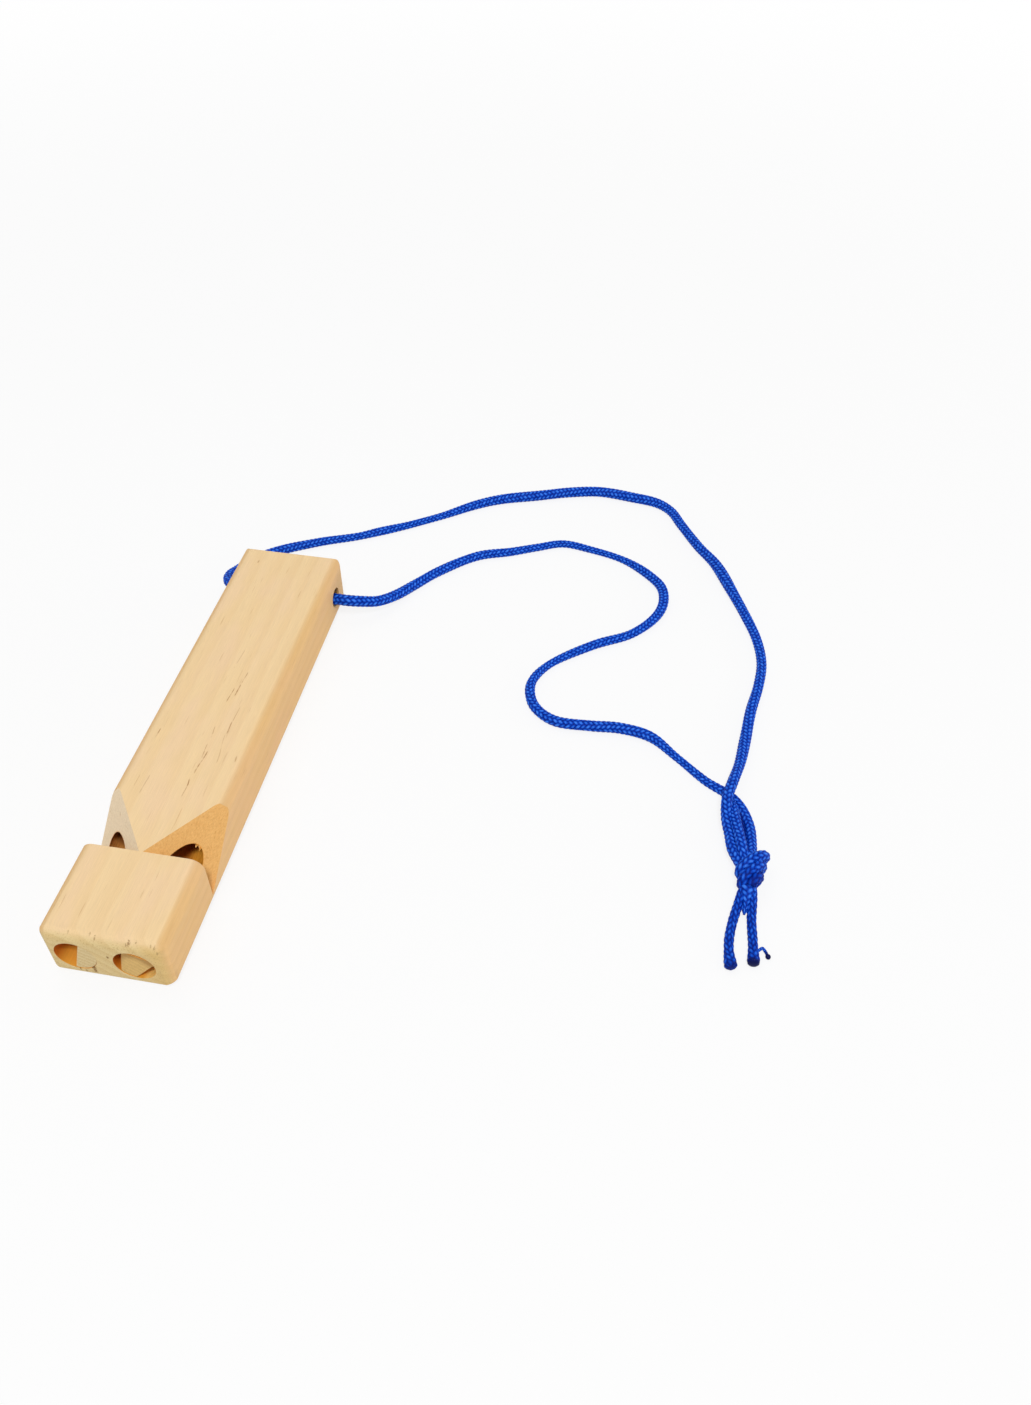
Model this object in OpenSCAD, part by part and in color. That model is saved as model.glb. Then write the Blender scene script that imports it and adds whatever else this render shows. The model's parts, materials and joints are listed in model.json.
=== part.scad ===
// Wooden two-tone whistle with a knotted neck cord, lying on a table.
// Millimetres. X is across the block, Y runs from the mouth end to the cord end, Z is up from the table.

/* [Block] */
// Length of the wooden block
body_l = 120; // [90:1:160]
// Width of the wooden block
body_w = 26.2; // [24:0.2:34]
// Height of the wooden block
body_h = 14.6; // [13:0.2:20]
// Rounding of the four long edges and of the mouth end
edge_r = 2.9; // [0.6:0.1:4]
// Rounding of the edges round the cord end
rear_edge_r = 1.3; // [0.4:0.1:3]

/* [Sound chambers] */
// Diameter of both bores
bore_d = 8.6; // [6:0.1:9.6]
// Distance between the two bore axes
bore_spacing = 12.2; // [11:0.1:15]
// Height of the bore axes above the base
bore_z = 7.6; // [6:0.1:9]
// Solid wood between the left chamber and the cord hole
left_end_wall = 6.4; // [3:0.2:40]
// Solid wood between the right chamber and the cord hole
right_end_wall = 21.4; // [3:0.2:40]

/* [Sound windows] */
// Length of the mouthpiece in front of the window walls
mouthpiece_l = 21.5; // [16:0.5:28]
// Gap from the middle of the top face to each window
window_inset = 0.4; // [0.2:0.1:3]
// Height of the window's lower corner on the side face
window_low_z = 2.8; // [2:0.1:6]
// Length of the window's ramp along the outer top edge
window_ramp_l = 17.8; // [12:0.1:26]

/* [Plugs] */
// Glue gap between a plug and its bore
plug_fit = 0.05; // [0.02:0.01:0.2]
// How far the left plug's face stands back from the mouth face
left_plug_recess = 0.1; // [0:0.1:2]
// Depth of the left windway at the mouth
left_windway_in = 4.6; // [1:0.1:5]
// Depth of the left windway at the window
left_windway_out = 1.4; // [0.8:0.1:4]
// Direction that the left windway faces, from the right of the block
left_windway_turn = 163; // [120:1:200]
// How far the right plug's face stands back from the mouth face
right_plug_recess = 0.1; // [0:0.1:2]
// Depth of the right windway
right_windway = 0.8; // [0.5:0.1:2]
// Direction that the right windway faces, from the right of the block
right_windway_turn = 70; // [0:1:110]
// Depth of the trimmed flat on the right plug's inner side
right_inner_flat = 1.6; // [0.2:0.1:2.5]
// Direction that this flat faces, from the right of the block
right_inner_turn = 167; // [140:1:200]
// Depth of the flat on the right plug's lower side
right_lower_flat = 1.9; // [0.2:0.1:2.5]
// Direction that this flat faces, from the right of the block
right_lower_turn = -41; // [-80:1:0]

/* [Cord] */
// Width of the braided cord
cord_d = 2.8; // [1.5:0.1:3.6]
// Width of the two tails below the knot
tail_d = 2.2; // [1.2:0.1:3.2]
// Width of a tail's cut end
tail_end_d = 2.8; // [1.6:0.1:4]
// Width of the stray thread at the right tail
thread_d = 0.7; // [0.4:0.1:1.2]
// Width of the melted bead on the stray thread
bead_d = 1.2; // [0.8:0.1:2]
// Diameter of the cord hole across the block
hole_d = 5.2; // [4:0.1:7]
// Distance of the cord hole from the cord end of the block
hole_from_rear = 7; // [5:0.1:15]
// Height of the cord hole above the base
hole_z = 6.9; // [5:0.1:9]
// Gap between the cord and the bottom of its hole
cord_seat = 0.6; // [0.1:0.05:1]

/* [Hidden] */
$fn = 64;
mouth_y = -body_l / 2;
wall_y = mouth_y + mouthpiece_l;
hole_y = body_l / 2 - hole_from_rear;
cord_z = hole_z - hole_d / 2 + cord_seat + cord_d / 2;
left_bore_l = body_l - hole_from_rear - hole_d / 2 - left_end_wall;
right_bore_l = body_l - hole_from_rear - hole_d / 2 - right_end_wall;
bore_r = bore_d / 2;
plug_r = bore_r - plug_fit;
window_run = body_w / 2 - window_inset;
window_drop = body_h - window_low_z;
window_slope = atan2(window_drop, window_run);
window_depth = window_run * sin(window_slope);
window_tilt = atan(window_depth / window_ramp_l);
reach = body_l;

// Colours as photographed
pine = [0.92, 0.79, 0.59];
peg = [0.80, 0.68, 0.45];
blue = [0.08, 0.26, 0.74];
dark_blue = [0.03, 0.08, 0.28];

// Sides of a swept cord, of the knot's body, and height of a cord that lies on the table
cord_sides = 8;
knot_sides = 12;
lie = cord_d / 2;
tail_lie = tail_d / 2;
half_w = body_w / 2;

// The right strand: out of its hole, down to the table, round its bends and under the crossing
right_route = [
    [half_w, hole_y, cord_z], [half_w + 3.5, hole_y, cord_z], [20, 54.5, 5.3], [23, 57, 3.8],
    [26.5, 62, 2.2], [30.5, 68.5, lie], [35, 74.5, lie], [44.5, 83.5, lie],
    [53, 87, lie], [60, 90.5, lie], [67, 93.5, lie], [74.5, 92.5, lie],
    [84.5, 89.5, lie], [92.5, 83.5, lie], [96, 79, lie], [97, 73, lie],
    [95.5, 67, lie], [90, 59.5, lie], [81, 53.5, lie], [70.5, 44, lie],
    [67.5, 37, lie], [68.5, 31, lie], [71, 27.5, lie], [75.5, 25, lie],
    [84, 25, lie], [91, 25.5, lie], [98.5, 24, lie], [105, 19, lie],
    [112, 13, lie], [117.5, 9.5, lie], [120.5, 6, lie], [122.5, 1, lie],
    [123, -4, 1.8], [123, -7.1, 2.4]
];

// The left strand: out of its hole, back round the cord end, round the wide loop and over the crossing
left_route = [
    [-half_w, hole_y, cord_z], [-half_w - 1.2, hole_y + 0.2, cord_z], [-17, 55.3, 5.6], [-18.5, 59.2, 4.4],
    [-18, 63, 3.2], [-16.5, 67.7, 2.2], [-13.5, 72.5, 1.6], [-9, 76.5, lie],
    [-0.5, 81.5, lie], [10, 86.5, lie], [20, 92.5, lie], [30, 99.5, lie],
    [40.5, 107.5, lie], [46, 110.5, lie], [57, 114.5, lie], [65, 117.5, lie],
    [74, 119.5, lie], [84, 118.5, lie], [91.5, 117, lie], [95.5, 114, lie],
    [99, 108, lie], [104.5, 99, lie], [109.5, 92, lie], [114.5, 81.5, lie],
    [118.5, 72.5, lie], [122, 63, lie], [123.5, 54.5, lie], [123, 46, lie],
    [121.5, 37, lie], [120.5, 27, lie], [119.5, 18.5, 2.6], [118, 11, 4.2],
    [117, 6, 4.3], [117.3, 1, 3.4], [118.3, -3, 2.7], [119, -6.6, 2.8]
];

// The knot's body: its middle line, and half its width and half its height there
knot_route = [
    [122.8, -7.2, 3], [122.8, -8.5, 3.3], [123.2, -10.5, 3.5], [123.1, -13, 3.4],
    [122.9, -15.5, 3], [122.9, -18, 2.5]
];
knot_half_w = [3.3, 3.8, 3.8, 3.3, 2.9, 2.5];
knot_half_h = [2.2, 3, 3.3, 3.2, 2.6, 1.5];

// The turn of the knot that lies in the groove between the two strands
turn_route = [[119.6, 3, 2.2], [120.2, -0.5, 3.4], [121, -4, 4.1], [121.6, -7.3, 4.4]];
turn_r = [0.7, 1.1, 1.2, 1.2];

left_tail_route = [
    [121.4, -18.2, 2.3], [120.9, -20.6, 1.9], [120, -25, tail_lie + 0.1], [119.6, -29, tail_lie],
    [119.8, -32.5, tail_lie], [120.3, -35.5, tail_end_d / 2]
];
right_tail_route = [
    [123.8, -18.2, 2.3], [123.9, -23, tail_lie + 0.2], [124.4, -28.5, tail_lie],
    [124.6, -31.5, tail_lie + 0.1], [124.7, -34, tail_end_d / 2]
];
thread_route = [
    [124.6 + tail_d / 2, -30.3, 1.2], [126.4, -29.6, 1], [127, -30.1, 0.8], [127.9, -31.7, bead_d / 2]
];

// Piece to draw

function unit(v) = v / norm(v);

// Direction of a route at one of its points
function heading(route, i) =
    unit(route[min(i + 1, len(route) - 1)] - route[max(i - 1, 0)]);

// One ring of a swept tube, half wide across and half tall upward
function ring(at, along, half_wide, half_tall, sides) =
    let (across = unit(cross(along, [0, 0, 1])), over = cross(across, along))
    [for (k = [0 : sides - 1])
        at + half_wide * cos(360 * k / sides) * across + half_tall * sin(360 * k / sides) * over];

// A closed tube along a route, with half its width and half its height at each point
module swept(route, half_wide, half_tall, sides) {
    last = len(route) - 1;
    rings = [for (i = [0 : last]) ring(route[i], heading(route, i), half_wide[i], half_tall[i], sides)];
    walls = [
        for (i = [0 : last - 1], k = [0 : sides - 1])
            let (a = i * sides + k, b = i * sides + (k + 1) % sides)
            each [[a, b, b + sides], [a, b + sides, a + sides]]
    ];
    start_cap = [for (k = [1 : sides - 2]) [0, k + 1, k]];
    end_cap = [for (k = [1 : sides - 2]) [last * sides, last * sides + k, last * sides + k + 1]];
    polyhedron(points = [for (r = rings) each r], faces = concat(walls, start_cap, end_cap));
}

// A round cord of one width along a route
module cord(route, width) {
    half = [for (p = route) width / 2];
    swept(route, half, half, cord_sides);
}

// Outline of the block seen along one side: the length, with the rounding of its two ends
module end_outline(span) {
    translate([mouth_y + edge_r, -span / 2])
        square([body_l - edge_r - rear_edge_r, span]);
    translate([mouth_y, edge_r - span / 2])
        square([body_l / 2, span - 2 * edge_r]);
    translate([0, rear_edge_r - span / 2])
        square([body_l / 2, span - 2 * rear_edge_r]);
    for (side = [-1, 1]) {
        translate([mouth_y + edge_r, side * (span / 2 - edge_r)])
            circle(edge_r);
        translate([body_l / 2 - rear_edge_r, side * (span / 2 - rear_edge_r)])
            circle(rear_edge_r);
    }
}

// Cross-section of the block with its rounded long edges
module section_outline() {
    square([body_w - 2 * edge_r, body_h], center = true);
    square([body_w, body_h - 2 * edge_r], center = true);
    for (x = [-1, 1], z = [-1, 1])
        translate([x * (body_w / 2 - edge_r), z * (body_h / 2 - edge_r)])
            circle(edge_r);
}

// What the ball-shaped rounding of a mouth corner takes off, side -1 or 1 across and level -1 or 1 upward.
// The ball is a little larger than the edges' rounding, so that it cuts their mitred ridges and touches nothing else.
module mouth_corner(side, level) {
    corner = [side * body_w / 2, mouth_y, level * body_h / 2];
    difference() {
        translate(corner)
            cube(2 * edge_r, center = true);
        translate(corner + edge_r * [-side, 1, -level])
            sphere(1.05 * edge_r);
    }
}

// The block before anything is cut from it
module block() {
    translate([0, 0, body_h / 2])
        difference() {
            intersection() {
                rotate([90, 0, 0])
                    linear_extrude(body_l + 2, center = true)
                        section_outline();
                rotate([0, 0, 90])
                    linear_extrude(body_h + 2, center = true)
                        end_outline(body_w);
                rotate([90, 0, 90])
                    linear_extrude(body_w + 2, center = true)
                        end_outline(body_h);
            }
            for (side = [-1, 1], level = [-1, 1])
                mouth_corner(side, level);
        }
}

// A blind bore from the mouth face, side -1 for the left one and 1 for the right one
module bore(side, length) {
    translate([side * bore_spacing / 2, mouth_y - 1, bore_z])
        rotate([-90, 0, 0])
            cylinder(d = bore_d, h = length + 1);
}

// The wedge that opens the right chamber: an upright wall, and a ramp that slopes out to the side
module window_cut() {
    intersection() {
        translate([window_inset, wall_y, body_h])
            rotate([0, window_slope, 0])
                rotate([window_tilt, 0, 0])
                    translate([-reach, -reach, 0])
                        cube([2 * reach, 2 * reach, reach]);
        translate([-reach, wall_y, -reach])
            cube(2 * reach);
    }
}

module whistle_body() {
    color(pine)
        difference() {
            block();
            bore(-1, left_bore_l);
            bore(1, right_bore_l);
            window_cut();
            mirror([1, 0, 0])
                window_cut();
            translate([0, hole_y, hole_z])
                rotate([0, 90, 0])
                    cylinder(d = hole_d, h = body_w + 2, center = true);
        }
}

// Wood taken off a plug on the side that faces turn, depth_in deep at the mouth and depth_out at the window
module plug_flat(turn, depth_in, depth_out) {
    rotate([0, -turn, 0])
        translate([bore_r - depth_in, mouth_y, 0])
            rotate([0, 0, -atan((depth_in - depth_out) / mouthpiece_l)])
                translate([0, -reach, -reach])
                    cube(2 * reach);
}

// A plug that fills its bore from the mouth to the window wall, on the bore's axis
module plug_rod(recess) {
    translate([0, mouth_y + recess, 0])
        rotate([-90, 0, 0])
            cylinder(r = plug_r, h = mouthpiece_l - recess);
}

module left_plug() {
    color(peg)
        translate([-bore_spacing / 2, 0, bore_z])
            difference() {
                plug_rod(left_plug_recess);
                plug_flat(left_windway_turn, left_windway_in, left_windway_out);
            }
}

module right_plug() {
    color(peg)
        translate([bore_spacing / 2, 0, bore_z])
            difference() {
                plug_rod(right_plug_recess);
                plug_flat(right_windway_turn, right_windway, right_windway);
                plug_flat(right_inner_turn, right_inner_flat, right_inner_flat);
                plug_flat(right_lower_turn, right_lower_flat, right_lower_flat);
            }
}

module cord_in_hole() {
    color(blue)
        cord([left_route[0], right_route[0]], cord_d);
}

module cord_right_strand() {
    color(blue)
        cord(right_route, cord_d);
}

module cord_left_strand() {
    color(blue)
        cord(left_route, cord_d);
}

module cord_knot() {
    color(blue) {
        swept(knot_route, knot_half_w, knot_half_h, knot_sides);
        swept(turn_route, turn_r, turn_r, cord_sides);
    }
}

// A tail of the knot, wider at its cut end
module tail(route) {
    last = len(route) - 1;
    half = [for (i = [0 : last]) (i == last ? tail_end_d : tail_d) / 2];
    swept(route, half, half, cord_sides);
}

module cord_left_tail() {
    color(blue)
        tail(left_tail_route);
}

module cord_right_tail() {
    color(blue)
        tail(right_tail_route);
}

module cord_stray_thread() {
    half = [thread_d, thread_d, thread_d, bead_d] / 2;
    color(dark_blue)
        swept(thread_route, half, half, cord_sides);
}

whistle_body();
left_plug();
right_plug();
cord_in_hole();
cord_right_strand();
cord_left_strand();
cord_knot();
cord_left_tail();
cord_right_tail();
cord_stray_thread();
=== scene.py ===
"""Wooden two-tone whistle on a knotted blue cord: the looks, in the part's own frame.

Lengths named here are millimetres. MM turns them into the frame's metres.
"""
import json
import math
import bmesh
import bpy
import numpy as np
from mathutils import Matrix, Vector

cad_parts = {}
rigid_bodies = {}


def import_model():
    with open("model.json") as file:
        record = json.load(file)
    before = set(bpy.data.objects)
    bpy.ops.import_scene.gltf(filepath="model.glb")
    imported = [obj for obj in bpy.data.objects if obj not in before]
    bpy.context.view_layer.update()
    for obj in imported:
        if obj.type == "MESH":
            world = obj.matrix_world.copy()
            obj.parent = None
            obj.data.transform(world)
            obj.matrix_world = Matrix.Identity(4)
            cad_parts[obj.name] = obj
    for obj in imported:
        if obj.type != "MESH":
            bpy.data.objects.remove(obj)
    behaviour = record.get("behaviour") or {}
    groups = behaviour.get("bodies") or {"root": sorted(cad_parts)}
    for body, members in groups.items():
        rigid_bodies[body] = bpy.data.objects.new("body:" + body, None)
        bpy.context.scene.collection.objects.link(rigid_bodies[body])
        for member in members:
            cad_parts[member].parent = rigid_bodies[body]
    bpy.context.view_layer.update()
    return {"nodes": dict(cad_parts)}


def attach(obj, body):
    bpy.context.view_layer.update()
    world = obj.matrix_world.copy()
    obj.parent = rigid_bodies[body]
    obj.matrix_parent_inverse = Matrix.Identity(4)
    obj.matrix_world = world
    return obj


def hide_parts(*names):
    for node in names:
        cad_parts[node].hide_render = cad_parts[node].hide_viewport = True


for thing in list(bpy.data.objects):
    bpy.data.objects.remove(thing)
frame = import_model()

MM = 0.001

# The camera, as fitted to the block's outline in the photograph.
CAMERA_AT = (98.764, -165.044, 204.197)
CAMERA_YAW, CAMERA_DOWN, CAMERA_ROLL = -9.897, 45.783, 0.459
IMAGE_H = 1405
FOCAL_PX = 1160.1
SENSOR = 36.0
# It sees from the first distance to the second, in metres.
CLIP_NEAR, CLIP_FAR = 0.01, 20

# The block, as in the CAD source.
HALF_W = 13.1
BORE_X, BORE_Z, BORE_R = 6.1, 7.6, 4.3
WALL_Y = -38.5
TOP_Z = 14.6
# How far the sharp edges of the block and of the plugs are worn away.
WORN_EDGE, WORN_PLUG = 0.22, 0.08
# In degrees: edges sharper than the first are worn, flatter than the second are dissolved,
# and sharper than the third aren't shaded smooth.
SHARP_BEND, FLAT_BEND, CREASE_BEND = 32, 0.8, 40
# Points nearer than the first become one, and edges shorter than the second are dissolved.
WELD, SLIVER = 0.002, 0.003

# The cord, as in the CAD source.
HOLE_Y, CORD_Z = 53.0, 6.3
CORD_D = 2.8
TAIL_D, TAIL_END_D = 2.2, 2.8
LIE, TAIL_LIE = CORD_D / 2, TAIL_D / 2
# The points between two points of a route.
CURVE_PARTS = 40
# The braid: a cell's length, the yarns round it, how far they stand out, the points round it,
# the run of one turn of twist, and the steps along the strands and along the shorter cords.
BRAID_CELL = 1.2
BRAID_YARNS = 8
BRAID_RELIEF = 0.2
BRAID_ROUND = 48
BRAID_TWIST = 110.0
BRAID_STEP = BRAID_CELL / 6.5
FINE_STEP = 0.18
# How narrow a yarn's crown is in its cell, and how high it still stands where it dips under.
YARN_NARROW, CROWN_LOW = 1.9, 0.3
# How bright the yarns are in the tails, the knot's last turn and the strand under it, against the strands.
# This weakens their painted crown highlights, and in the last turn and the strand under it that is painted
# shade.
TAIL_DULL, TURN_PAINTED_SHADE, UNDER_PAINTED_SHADE = 0.84, 0.6, 0.42
# The tails: their width against their solid's, the run that flares, and their own cell and twist.
TAIL_SLIM, TAIL_FLARE, TAIL_CELL, TAIL_TWIST = 0.96, 5.0, 1.4, 60.0
# Their cut ends: the run that rounds off, how much narrower it gets, and the run that is melted.
TIP_ROUND, TIP_NARROW, MELT_RUN = 0.55, 0.45, 1.1
# The stray thread: its steps, its radius and its bead's, how much thinner its end gets over which run,
# how it melts toward its end, and its own braid.
THREAD_STEP, THREAD_R, BEAD_R = 0.08, 0.35, 0.6
THREAD_THIN, THREAD_THIN_RUN = 0.2, 0.3
THREAD_MELT, THREAD_MELT_RUN = 1.3, 1.6
THREAD_RELIEF, THREAD_CELL, THREAD_YARNS, THREAD_TWIST = 0.05, 0.5, 4, 3.0

RIGHT_ROUTE = [
    (0, HOLE_Y, CORD_Z), (6, HOLE_Y, CORD_Z),
    (HALF_W, HOLE_Y, CORD_Z), (HALF_W + 3.5, HOLE_Y, CORD_Z), (20, 54.5, 5.3), (23, 57, 3.8),
    (26.5, 62, 2.2), (30.5, 68.5, LIE), (35, 74.5, LIE), (44.5, 83.5, LIE), (53, 87, LIE),
    (60, 90.5, LIE), (67, 93.5, LIE), (74.5, 92.5, LIE), (84.5, 89.5, LIE), (92.5, 83.5, LIE),
    (96, 79, LIE), (97, 73, LIE), (95.5, 67, LIE), (90, 59.5, LIE), (81, 53.5, LIE),
    (70.5, 44, LIE), (67.5, 37, LIE), (68.5, 31, LIE), (71, 27.5, LIE), (75.5, 25, LIE),
    (84, 25, LIE), (91, 25.5, LIE), (98.5, 24, LIE), (105, 19, LIE), (112, 13, LIE),
    (117.5, 9.5, LIE), (120.5, 6, LIE), (122.5, 1, LIE), (123, -4, 1.8), (123, -7.1, 2.4),
    (122.8, -10, 3),
]
LEFT_ROUTE = [
    (0, HOLE_Y, CORD_Z), (-6, HOLE_Y, CORD_Z),
    (-HALF_W, HOLE_Y, CORD_Z), (-HALF_W - 1.2, HOLE_Y + 0.2, CORD_Z), (-17, 55.3, 5.6),
    (-18.5, 59.2, 4.4), (-18, 63, 3.2), (-16.5, 67.7, 2.2), (-13.5, 72.5, 1.6),
    (-9, 76.5, LIE), (-0.5, 81.5, LIE), (10, 86.5, LIE), (20, 92.5, LIE), (30, 99.5, LIE),
    (40.5, 107.5, LIE), (46, 110.5, LIE), (57, 114.5, LIE), (65, 117.5, LIE), (74, 119.5, LIE),
    (84, 118.5, LIE), (91.5, 117, LIE), (95.5, 114, LIE), (99, 108, LIE), (104.5, 99, LIE),
    (109.5, 92, LIE), (114.5, 81.5, LIE), (118.5, 72.5, LIE), (122, 63, LIE), (123.5, 54.5, LIE),
    (123, 46, LIE), (121.5, 37, LIE), (120.5, 27, LIE), (119.5, 18.5, 2.6), (118, 11, 4.2),
    (117, 6, 4.3), (117.3, 1, 3.4), (118.3, -3, 2.7), (119, -6.6, 2.8), (120.6, -10, 3),
    (122, -12.5, 3),
]
# How wide the braid looks along each strand, as it is stretched or pressed flat:
# length from the hole's middle, width.
RIGHT_WIDTHS = [
    (0, 2.8), (16, 3.0), (30, 2.9), (46, 2.7), (64, 2.55), (78, 2.2), (100, 1.95), (112, 2.6), (120, 2.8),
    (142, 2.4), (150, 2.5), (164, 2.1), (178, 2.65), (208, 2.8), (220, 1.95), (228, 2.1), (240, 2.6),
    (256, 2.7),
]
LEFT_WIDTHS = [
    (0, 2.8), (40, 2.8), (52, 2.5), (64, 2.2), (70, 2.5), (80, 2.15), (88, 2.1), (100, 2.7), (112, 3.0),
    (150, 3.0), (160, 2.7), (178, 2.75), (192, 3.2), (208, 2.65), (224, 2.55), (240, 2.7), (255, 2.85),
    (268, 2.6), (296, 2.7),
]
LEFT_TAIL = [
    (123, -13, 3), (122.1, -15.8, 2.8), (121.4, -18.2, 2.3), (120.9, -20.6, 1.9), (120, -25, 1.2),
    (119.6, -29, TAIL_LIE), (119.8, -32.5, TAIL_LIE), (120.3, -35.5, TAIL_END_D / 2),
]
RIGHT_TAIL = [
    (123, -13, 3), (123.5, -15.8, 2.8), (123.8, -18.2, 2.3), (123.9, -23, 1.3), (124.4, -28.5, TAIL_LIE),
    (124.6, -31.5, 1.2), (124.7, -34, TAIL_END_D / 2),
]
THREAD = [
    (124.9, -30.9, 1.4), (125.7, -30.3, 1.2), (126.4, -29.6, 1), (127, -30.1, 0.8), (127.9, -31.7, 0.6),
]
# Above the knot, one strand lies over the others, with its radii, and one under them.
TURN = [
    (118.5, 7.2, 2.9), (118.7, 4.5, 3.3), (119, 1.5, 3.6), (119.5, -1.5, 3.9), (120.2, -4.5, 4.2),
    (120.9, -7.8, 4.3), (121.8, -10.4, 3.6),
]
TURN_R = (0.25, 0.95, 1.25, 1.25, 1.25, 1.25, 1.0)
UNDER_R = 1.2
UNDER = [(120, 3.5, 1.3), (120.6, 0, 1.4), (121.2, -4, 1.7), (122, -8, 2.6), (122.6, -11, 3)]

# The knot: two slanted turns round the strands, narrower toward the tails.
KNOT_AT = (123.2, -12.7, 3.3)
KNOT_TURNS = 2.0
KNOT_PITCH, KNOT_SHEAR = 2.75, 1.7
KNOT_RX, KNOT_RZ = 2.0, 1.9
KNOT_TAPER = 0.56
KNOT_STRAND_R = 1.32
# Its turns reach past both ends by these shares of a turn, where they tuck in to this share of their width.
KNOT_LEAD, KNOT_TRAIL, KNOT_TUCK = 0.3, 0.28, 0.35
# The points along its turns, and how fast their painted shade deepens from their middle on.
KNOT_POINTS, KNOT_LATE = 80, 1.2
KNOT_CORE = [
    (122.4, -8.4, 3.2), (122.9, -11, 3.4), (122.8, -14, 3.1), (122.6, -17, 2.6), (122.5, -20, 1.9),
    (122.3, -22.4, 1.4),
]
KNOT_CORE_R = (1.7, 1.7, 1.8, 1.9, 1.2, 0.3)

# Dark resin lines on the top face: from x, y to x, y, half their width and how dark they are.
RESIN_LINES = [
    (3.9, 14.8, 3.7, 11.4, 0.16, 0.5), (3.6, 10.6, 3.5, 7.2, 0.18, 0.75), (2.6, 9.6, 2.3, 4.8, 0.16, 0.6),
    (5.9, 4.4, 5.8, -0.6, 0.14, 0.4), (5.7, -1.0, 5.8, -4.4, 0.17, 0.6), (5.6, -5.0, 6.6, -13.0, 0.14, 0.3),
    (2.5, -3.0, 2.8, -6.0, 0.15, 0.4), (2.7, -8.4, 2.9, -12.2, 0.16, 0.45),
    (3.5, -10.4, 2.9, -16.8, 0.18, 0.7), (2.6, -18.4, 2.8, -20.4, 0.18, 0.8),
    (2.8, -20.6, 2.7, -23.4, 0.14, 0.45), (10.3, -10.6, 10.4, -12.0, 0.2, 0.5),
    (-9.2, -5.8, -9.3, -8.2, 0.18, 0.6), (-6.2, -19.0, -6.4, -24.0, 0.15, 0.3),
    (0.6, 22.0, 0.2, 15.5, 0.14, 0.25), (-7.2, 55.0, -7.2, 54.0, 0.28, 0.5),
]
# A line is darkest within this share of its half width, and fades over this length at both its ends.
LINE_CORE, LINE_FADE = 0.4, 0.5
# Torn pores at the mouth end: where, half their length and how dark they are.
MOUTH_SPECKS = [
    ((-6.3, -58.8, 14.2), 0.5, 0.4), ((-2.0, -58.4, 14.3), 0.5, 0.4), ((-0.9, -59.2, 14.0), 0.6, 0.6),
    ((6.0, -59.0, 14.0), 0.75, 0.85), ((5.5, -59.3, 13.7), 0.45, 0.6), ((7.4, -58.7, 14.2), 0.5, 0.5),
    ((10.4, -58.9, 13.9), 0.5, 0.4), ((11.2, -58.9, 13.6), 0.6, 0.55), ((11.7, -59.5, 12.8), 0.5, 0.45),
    ((1.0, -60.0, 9.2), 0.6, 1.0), ((-3.1, -60.0, 4.5), 1.3, 1.0), ((-3.0, -60.0, 3.4), 1.1, 0.9),
    ((-6.2, -60.0, 3.1), 0.6, 0.8), ((-5.0, -60.0, 2.6), 0.7, 0.7), ((-4.2, -60.0, 10.9), 0.7, 0.5),
]
# Pores are this many times slimmer across the block than along it, and this ragged.
# Each is darkest within the first share of its half length, and ends at the second.
SPECK_SLIM, SPECK_RAGGED = 2.4, 3.0
SPECK_CORE, SPECK_RIM = 0.3, 1.05
# Fibres torn at the right window's lip: root, tip and half their width.
SPLINTERS = [
    ((8.75, -31.8, 10.72), (8.55, -32.75, 10.78), 0.3), ((9.15, -31.7, 10.42), (9.25, -32.6, 10.28), 0.36),
    ((9.5, -31.9, 10.02), (9.3, -33.0, 9.95), 0.2),
]
# Along a fibre: shares of its length with its width there, its section's corners, and how far its tip droops.
SPIKE_WIDTHS = ((0, 1.0), (0.5, 0.8), (0.85, 0.45), (1.0, 0.08))
SPIKE_CORNERS = ((-1, -0.5), (1, -0.5), (0.8, 0.5), (-0.8, 0.5))
SPIKE_DROOP = 1.2
# The light, in metres and watts: where each lamp is, its size and its strength, and where the lamps aim.
WORLD_LIGHT = 0.47
KEY_LAMP = ((0.2, -0.53, 1.0), 0.16, 5.8)
BACK_LAMP = ((-0.3, 0.3, 1.0), 0.6, 1.5)
SIDE_LAMP = ((0.9, 0.22, 0.16), 0.3, 1.3)
AIM, SIDE_AIM = (0.04, 0.02, 0), (0.02, 0, 0)
# The floor glows white: from this distance to this one, its glow grows from this share to all of it.
FLOOR_FADE = (0.2, 0.7, 0.84, 1.0)
FLOOR_HALF, FLOOR_GREY = 12.0, 0.86
# The tree's heart, from the block's axis: its rings run from here, this far apart and with this sway.
HEART = (24.0, 33.0)
BLOCK_RINGS, PLUG_RINGS = 2.3, 1.1
RING_SWAY = 1.8
# Behind its window, the left chamber turns dark with painted shade from the first y to the second.
LEFT_CHAMBER_SHADE = (-32.0, -30.2)


def linear(red, green, blue):
    """An sRGB colour in 0 to 255 as the linear one that Blender's sockets take."""
    def one(value):
        value /= 255
        return value / 12.92 if value <= 0.04045 else ((value + 0.055) / 1.055) ** 2.4
    return (one(red), one(green), one(blue), 1.0)


# The cord, from painted shade in its grooves to painted highlights on its crowns, and where it melted.
CORD_SHADE_TO_HIGHLIGHT = [
    (0.0, linear(0, 12, 78)), (0.35, linear(0, 34, 136)),
    (0.7, linear(4, 76, 202)), (1.0, linear(62, 130, 240)),
]
CORD_MELTED = linear(10, 18, 74)
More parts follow.
